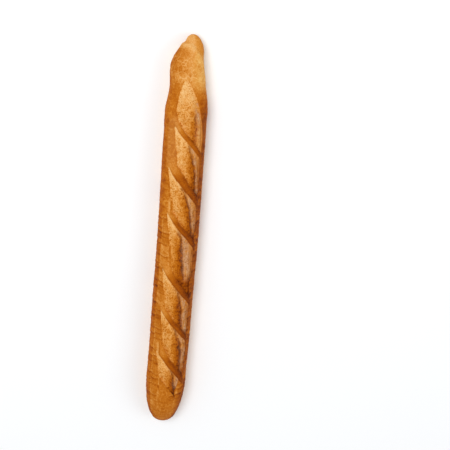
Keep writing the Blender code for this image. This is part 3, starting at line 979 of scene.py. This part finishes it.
def add(kind, inputs=None, **settings):
    node = tree.nodes.new(kind)
    for name, value in settings.items():
        setattr(node, name, value)
    for name, value in (inputs or {}).items():
        if isinstance(value, bpy.types.NodeSocket):
            tree.links.new(value, node.inputs[name])
        else:
            node.inputs[name].default_value = value
    return node


def maths(operation, a, b, c=0.0, clamp=False):
    return add("ShaderNodeMath", {0: a, 1: b, 2: c}, operation=operation, use_clamp=clamp).outputs[0]


def times(a, b):
    return maths("MULTIPLY", a, b)


def plus(base_value, value, amount, clamp=False):
    """base_value, and amount times value more."""
    return maths("MULTIPLY_ADD", value, amount, base_value, clamp)


def ranged(value, low, high, to_low=0.0, to_high=1.0):
    inputs = {"Value": value, "From Min": low, "From Max": high, "To Min": to_low, "To Max": to_high}
    return add("ShaderNodeMapRange", inputs).outputs[0]


def blend_colours(share, a, b, blend="MIX"):
    node = add("ShaderNodeMix", {0: share, 6: a, 7: b}, data_type="RGBA", blend_type=blend)
    return node.outputs[2]


print("node helpers ready")

# %% [markdown]
# ### Browning
# A crust browns along one path, from cream over gold to dark brown. A ramp in its own group holds it.

# %% The browning group
BROWNING = (
    (0.00, (0.87, 0.68, 0.42)),
    (0.16, (0.85, 0.56, 0.26)),
    (0.30, (0.79, 0.435, 0.150)),
    (0.45, (0.66, 0.272, 0.050)),
    (0.58, (0.515, 0.158, 0.009)),
    (0.74, (0.39, 0.094, 0.001)),
    (0.88, (0.26, 0.052, 0.001)),
    (1.00, (0.13, 0.022, 0.0005)),
)
browning = tree = bpy.data.node_groups.new("Browning", "ShaderNodeTree")
bake_socket = browning.interface.new_socket("Bake", in_out="INPUT", socket_type="NodeSocketFloat")
bake_socket.default_value = 0.5
browning.interface.new_socket("Colour", in_out="OUTPUT", socket_type="NodeSocketColor")
group_start = add("NodeGroupInput")
ramp = add("ShaderNodeValToRGB", {0: group_start.outputs["Bake"]})
stops = ramp.color_ramp.elements
for stop_place, _ in BROWNING[1:-1]:
    stops.new(stop_place)
for stop, (stop_place, stop_colour) in zip(stops, BROWNING):
    stop.position = stop_place
    stop.color = (*stop_colour, 1.0)
add("NodeGroupOutput", {"Colour": ramp.outputs["Color"]})
print("browning ramp with", len(stops), "stops")

# %% [markdown]
# ## The crust material
# The bake mask sets the colour, and fine noise and light crack lines break it up. New skin in the openings
# is speckled and matt, the crown has a soft satin gloss, and the torn flaps are greyer and streaked.

# %% Start the crust material
crust_material = bpy.data.materials.new("baked_crust")
crust_material.use_nodes = True
tree = crust_material.node_tree
shader = tree.nodes["Principled BSDF"]
shader.inputs["Specular IOR Level"].default_value = 0.06
where = add("ShaderNodeTexCoord").outputs["Object"]
mask = {name: add("ShaderNodeAttribute", attribute_name=name).outputs["Fac"] for name in masks}
print("the material reads", len(mask), "masks")

# %% [markdown]
# Coarse noise gives blotches, fine noise the grain, Voronoi cells the specks of new skin, and noise that is
# stretched along the loaf the fibres of the torn flaps.

# %% Textures
BLOTCH_SCALE, GRAIN_SCALE, SPECK_SCALE, FIBRE_SCALE, FIBRE_STRETCH = 120.0, 700.0, 430.0, 420.0, 0.2


def noise_texture(place, scale, detail, roughness):
    inputs = {"Vector": place, "Scale": scale, "Detail": detail, "Roughness": roughness}
    return add("ShaderNodeTexNoise", inputs).outputs


blotches = noise_texture(where, BLOTCH_SCALE, 5.0, 0.65)
grain = noise_texture(where, GRAIN_SCALE, 2.0, 0.7)[0]
specks = add("ShaderNodeTexVoronoi", {"Vector": where, "Scale": SPECK_SCALE}).outputs
stretched = add("ShaderNodeMapping", {"Vector": where, "Scale": (FIBRE_STRETCH, 1.0, 1.0)}).outputs[0]
fibres = noise_texture(stretched, FIBRE_SCALE, 4.0, 0.65)[0]
print("textures in the material:", sum(node.type.startswith("TEX_") for node in tree.nodes))

# %% [markdown]
# The hairline crackle is a net of Voronoi borders, bent by the blotches so that no line is straight. Each
# mesh of the net has its own slight tone.

# %% Hairline crackle
NET_SCALE, NET_BEND = 135.0, 0.007
bend_inputs = {0: blotches[1], 1: (NET_BEND, NET_BEND, NET_BEND)}
bent = add("ShaderNodeVectorMath", bend_inputs, operation="MULTIPLY").outputs[0]
bent_where = add("ShaderNodeVectorMath", {0: where, 1: bent}, operation="ADD").outputs[0]
net_inputs = {"Vector": bent_where, "Scale": NET_SCALE}
net = add("ShaderNodeTexVoronoi", net_inputs, feature="DISTANCE_TO_EDGE")
net_cells = add("ShaderNodeTexVoronoi", net_inputs)
net_lines = ranged(net.outputs["Distance"], 0.01, 0.11, 1.0, 0.0)
net_lines = times(net_lines, ranged(blotches[0], 0.30, 0.60))
net_lines = times(net_lines, mask["crackle"])
net_tone = times(maths("ADD", net_cells.outputs["Color"], -0.5), mask["crackle"])
print("the net has meshes of", 1.0 / NET_SCALE / MM, "mm")

# %% [markdown]
# The textures make the crust a little more or less done, and the ramp turns that into colour.

# %% From bake to colour
spots = ranged(specks["Distance"], 0.20, 0.50, 1.0, 0.0)
spots = times(times(spots, ranged(specks["Color"], 0.40, 0.70)), mask["opening"])
done = plus(mask["bake"], times(maths("ADD", blotches[0], -0.5), mask["patchy"]), 0.40)
done = plus(done, net_tone, 0.14)
grain_share = plus(0.42, mask["opening"], 0.16)
done = plus(done, maths("ADD", grain, -0.5), grain_share)
done = plus(done, spots, 0.24)
done = plus(done, net_lines, -0.17)
colour = add("ShaderNodeGroup", {"Bake": done}, node_tree=browning).outputs["Colour"]
print("nodes so far:", len(tree.nodes))

# %% [markdown]
# Torn and grey skin did not simply brown, so each has its own colour. The crease's dark colour is painted
# shade in its groove. The golden tint multiplies.

# %% Torn, creased, grey and golden skin
TORN_DARK, TORN_LIGHT = (0.44, 0.16, 0.030, 1.0), (0.76, 0.38, 0.13, 1.0)
GREY_DARK, GREY_LIGHT = (0.33, 0.18, 0.09, 1.0), (0.80, 0.56, 0.36, 1.0)
CREASE_SHADE_COLOUR, GOLDEN_TINT = (0.16, 0.055, 0.012, 1.0), (0.98, 0.91, 0.57, 1.0)
torn_colour = blend_colours(ranged(fibres, 0.40, 0.60), TORN_DARK, TORN_LIGHT)
colour = blend_colours(times(mask["torn"], 0.35), colour, torn_colour)
# Painted shade: the crease is coloured nearly black-brown.
colour = blend_colours(times(mask["crease"], 0.50), colour, CREASE_SHADE_COLOUR)
grey_colour = blend_colours(ranged(grain, 0.40, 0.60), GREY_DARK, GREY_LIGHT)
colour = blend_colours(times(mask["greyed"], 0.60), colour, grey_colour)
colour = blend_colours(mask["golden"], colour, GOLDEN_TINT, blend="MULTIPLY")
tree.links.new(colour, shader.inputs["Base Color"])
print("nodes with colour:", len(tree.nodes))

# %% [markdown]
# New skin and the sole are matt, and the crown is satin. What is finer than the grid becomes bump.

# %% Gloss and fine relief
CRUST_ROUGHNESS, BUMP_DISTANCE, BUMP_STRENGTH = 0.58, 0.0007, 0.9
roughness = plus(CRUST_ROUGHNESS, mask["opening"], 0.20)
roughness = plus(roughness, mask["sole"], 0.25)
roughness = plus(roughness, grain, 0.14, clamp=True)
tree.links.new(roughness, shader.inputs["Roughness"])
height = plus(times(blotches[0], 0.35), grain, plus(0.14, mask["opening"], 0.45))
for dent in (spots, mask["crack"], net_lines):
    height = plus(height, dent, -0.30)
height = plus(height, times(fibres, mask["torn"]), 0.8)
bump_inputs = {"Height": height, "Distance": BUMP_DISTANCE, "Strength": BUMP_STRENGTH}
tree.links.new(add("ShaderNodeBump", bump_inputs).outputs[0], shader.inputs["Normal"])
crust_mesh.materials.append(crust_material)
print("crust material on", loaf.name, "with", len(tree.nodes), "nodes")

# %% [markdown]
# ## The table, the light and the camera
# The loaf lies on a plain pale floor, wide enough to have no edge in view.

# %% Floor
FLOOR_REACH = 6.0
corners = [(x * FLOOR_REACH, y * FLOOR_REACH, 0.0) for x, y in ((-1, -1), (1, -1), (1, 1), (-1, 1))]
floor_mesh = bpy.data.meshes.new("floor")
floor_mesh.from_pydata(corners, [], [(0, 1, 2, 3)])
floor = bpy.data.objects.new("floor", floor_mesh)
scene.collection.objects.link(floor)
floor_material = bpy.data.materials.new("pale_floor")
floor_material.use_nodes = True
floor_shader = floor_material.node_tree.nodes["Principled BSDF"]
floor_shader.inputs["Base Color"].default_value = (0.94, 0.955, 0.97, 1.0)
floor_shader.inputs["Roughness"].default_value = 0.9
floor_shader.inputs["Specular IOR Level"].default_value = 0.1
floor_mesh.materials.append(floor_material)
print("floor reaches", FLOOR_REACH, "m each way")

# %% [markdown]
# A large lamp stands above the loaf on the +Y side and a weaker one on the -Y side, and a pale sky fills
# the shadows. Large lamps keep them soft.

# %% Light
world = bpy.data.worlds.new("pale_sky")
scene.world = world
world.use_nodes = True
world.node_tree.nodes["Background"].inputs["Color"].default_value = (1.0, 1.0, 1.0, 1.0)
world.node_tree.nodes["Background"].inputs["Strength"].default_value = 0.60


def area_lamp(name, place, size, power):
    """A round soft lamp that faces the loaf."""
    lamp = bpy.data.lights.new(name, "AREA")
    lamp.shape = "DISK"
    lamp.size = size
    lamp.energy = power
    holder = bpy.data.objects.new(name, lamp)
    scene.collection.objects.link(holder)
    holder.location = place
    holder.rotation_euler = Vector(place).to_track_quat("Z", "Y").to_euler()


area_lamp("key", (0.80, 0.60, 2.2), 1.3, 29.0)
area_lamp("fill", (0.1, -1.7, 1.6), 1.3, 7.0)
scene.view_settings.view_transform = "Standard"

# %% [markdown]
# The camera looks down from above and a little beyond the tip, with the tip at the top of the picture.

# %% Camera
CAMERA_TILT, CAMERA_TURN = math.radians(17.5), math.radians(4.95)
EYE_FORWARD, EYE_SIDE, EYE_HEIGHT = 0.4447, -0.071, 1.355
back = Vector((math.sin(CAMERA_TILT), 0.0, math.cos(CAMERA_TILT)))
up = Vector((math.cos(CAMERA_TILT), 0.0, -math.sin(CAMERA_TILT)))
axes = Matrix((up.cross(back), up, back)).transposed().to_4x4()
camera_data = bpy.data.cameras.new("camera")
camera_data.sensor_width = 36.0
camera_data.lens = 76.5
camera = bpy.data.objects.new("camera", camera_data)
scene.collection.objects.link(camera)
eye = Matrix.Translation((EYE_FORWARD, EYE_SIDE, EYE_HEIGHT))
camera.matrix_world = Matrix.Rotation(CAMERA_TURN, 4, "Z") @ eye @ axes
scene.camera = camera
print("camera at", [round(c, 3) for c in camera.matrix_world.translation])
